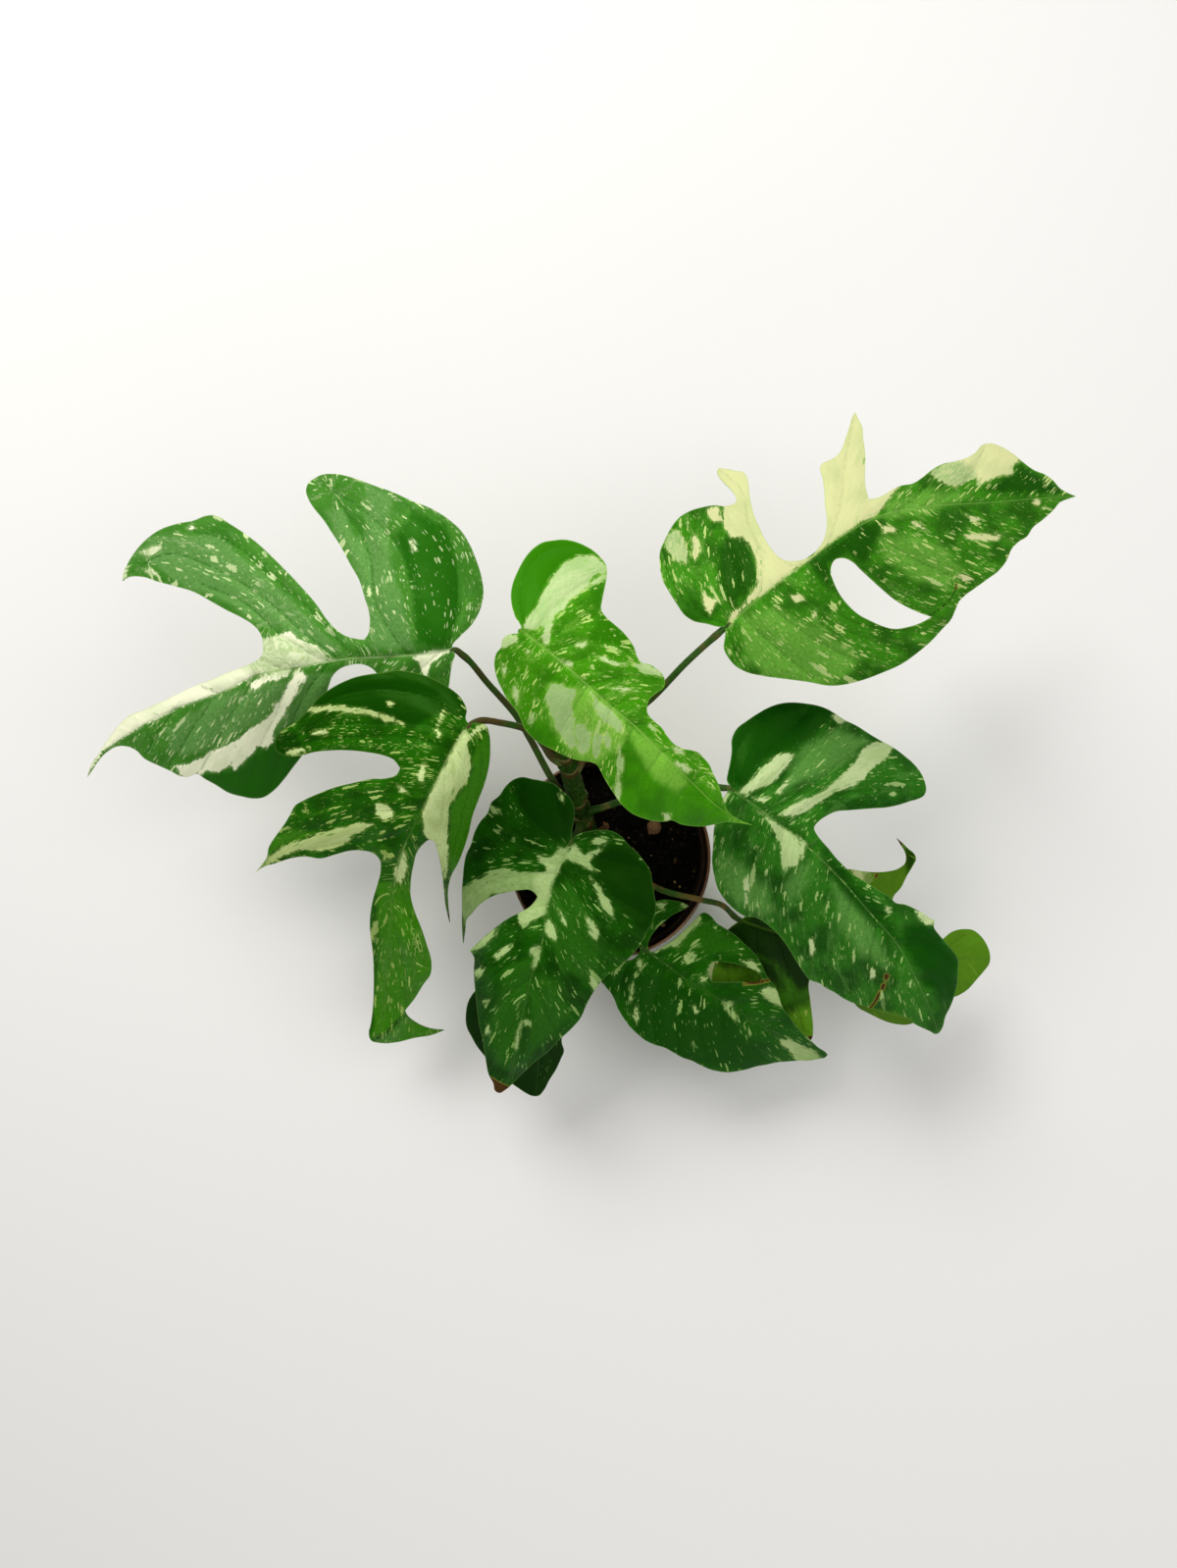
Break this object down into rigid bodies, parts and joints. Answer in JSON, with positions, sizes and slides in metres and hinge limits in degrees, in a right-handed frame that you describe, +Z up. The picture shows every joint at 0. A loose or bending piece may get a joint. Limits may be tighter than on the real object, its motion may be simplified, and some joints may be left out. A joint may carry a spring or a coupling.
{
  "type": "potted mini monstera plant",
  "caption": "Variegated, split-leaved climbing aroid growing from soil in a round tapered plastic nursery pot, with long petioles and wide-spreading drooping leaves.",
  "frame": {"origin": "centre of the pot's flat base, on the surface that the pot stands on", "axes": "+Z up along the pot's axis; +X to the side on which the pot's soil shows most, along the plant's widest spread; +Y to the side the stem leans to"},
  "size_m": [0.4916, 0.3477, 0.2145],
  "materials": {
    "pot_plastic": "thin moulded plastic, satin, terracotta brown",
    "potting_soil": "dark moist peat and bark mix, rough",
    "stem": "green stem with pale node rings, satin",
    "petiole": "smooth green, satin",
    "leaf": "waxy leaf, mid green with cream sectors, streaks and flecks",
    "young_leaf": "waxy new leaf, bright yellow-green with cream marbling",
    "shaded_leaf": "waxy older leaf, deep to olive green",
    "fired_clay": "fired clay, matt",
    "dry_sheath": "dry papery leaf sheath, brown"
  },
  "bodies": {
    "root": {"pot": "pot_plastic", "soil": "potting_soil", "main_stem": "stem", "petiole_upper_left": "petiole", "petiole_middle_left": "petiole", "petiole_top_new": "petiole", "petiole_upper_right": "petiole", "petiole_right": "petiole", "petiole_front": "petiole", "petiole_lower_right": "petiole", "petiole_low_right": "petiole", "petiole_low_front": "petiole", "leaf_upper_left": "leaf", "leaf_middle_left": "leaf", "leaf_upper_right": "leaf", "leaf_right": "leaf", "leaf_front": "leaf", "leaf_lower_right": "leaf", "leaf_top_new": "young_leaf", "leaf_low_right": "shaded_leaf", "leaf_low_front": "shaded_leaf", "clay_bead": "fired_clay", "dry_sheath": "dry_sheath"}
  },
  "joints": []
}
